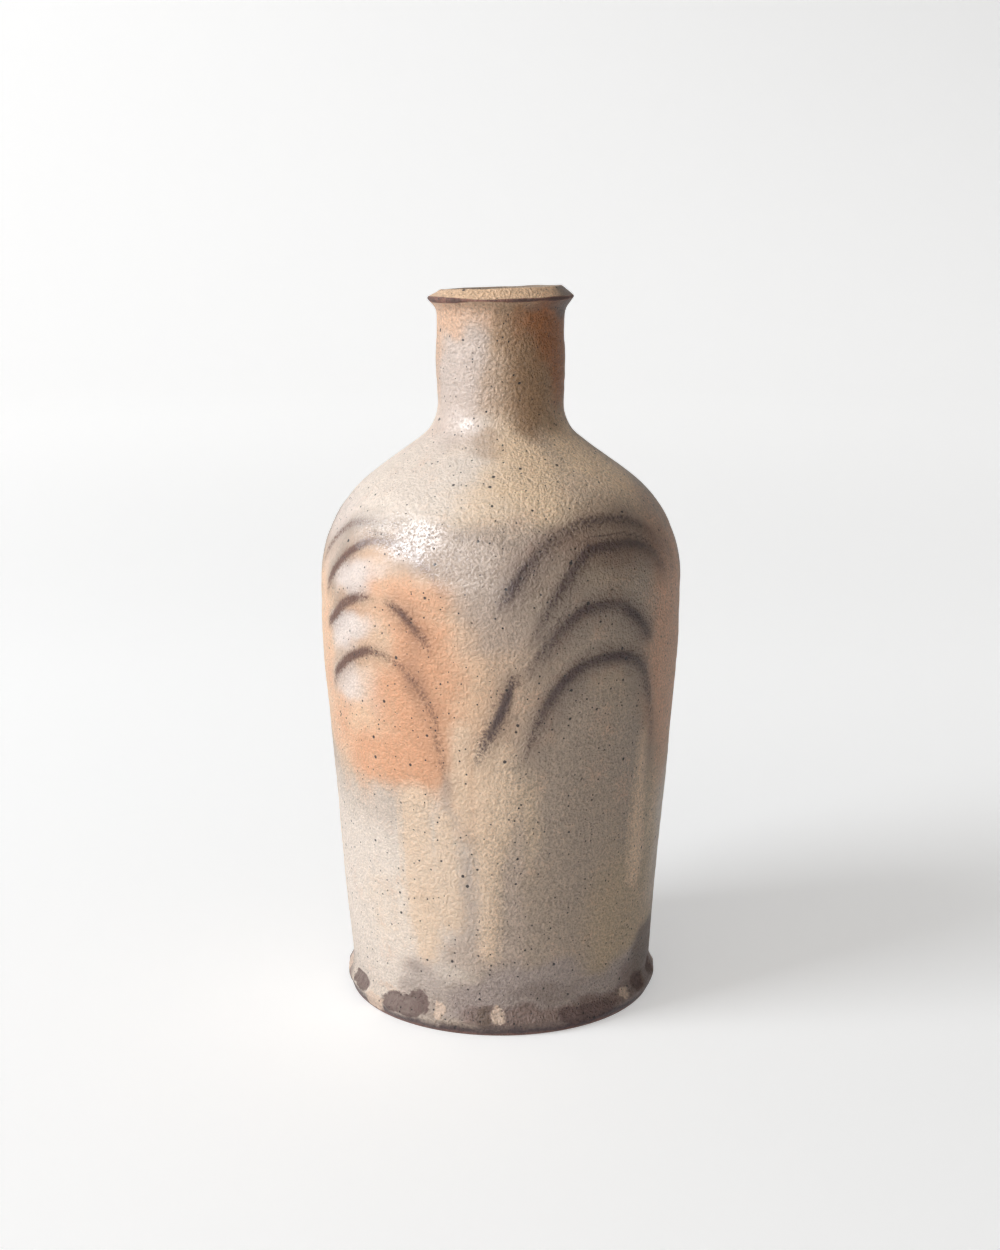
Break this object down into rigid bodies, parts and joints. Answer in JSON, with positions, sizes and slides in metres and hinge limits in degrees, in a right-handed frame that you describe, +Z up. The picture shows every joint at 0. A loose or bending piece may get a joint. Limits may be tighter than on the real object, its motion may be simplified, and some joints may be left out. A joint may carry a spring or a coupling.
{
  "type": "pottery bottle",
  "caption": "Wheel-thrown stoneware bottle with a tapered body, rounded shoulder, straight neck and flared lip, open at the mouth and hollow inside.",
  "frame": {"origin": "centre of the flat sole that the bottle stands on", "axes": "+Z up along the axis of throwing, -Y towards the side with the two wiped arch panels, +X to that side's right"},
  "size_m": [0.121, 0.121, 0.2408],
  "materials": {
    "wood_fired_stoneware": "satin, ash-glazed, with dark iron specks and finger-wiped arches"
  },
  "bodies": {
    "root": {"bottle": "wood_fired_stoneware"}
  },
  "joints": []
}
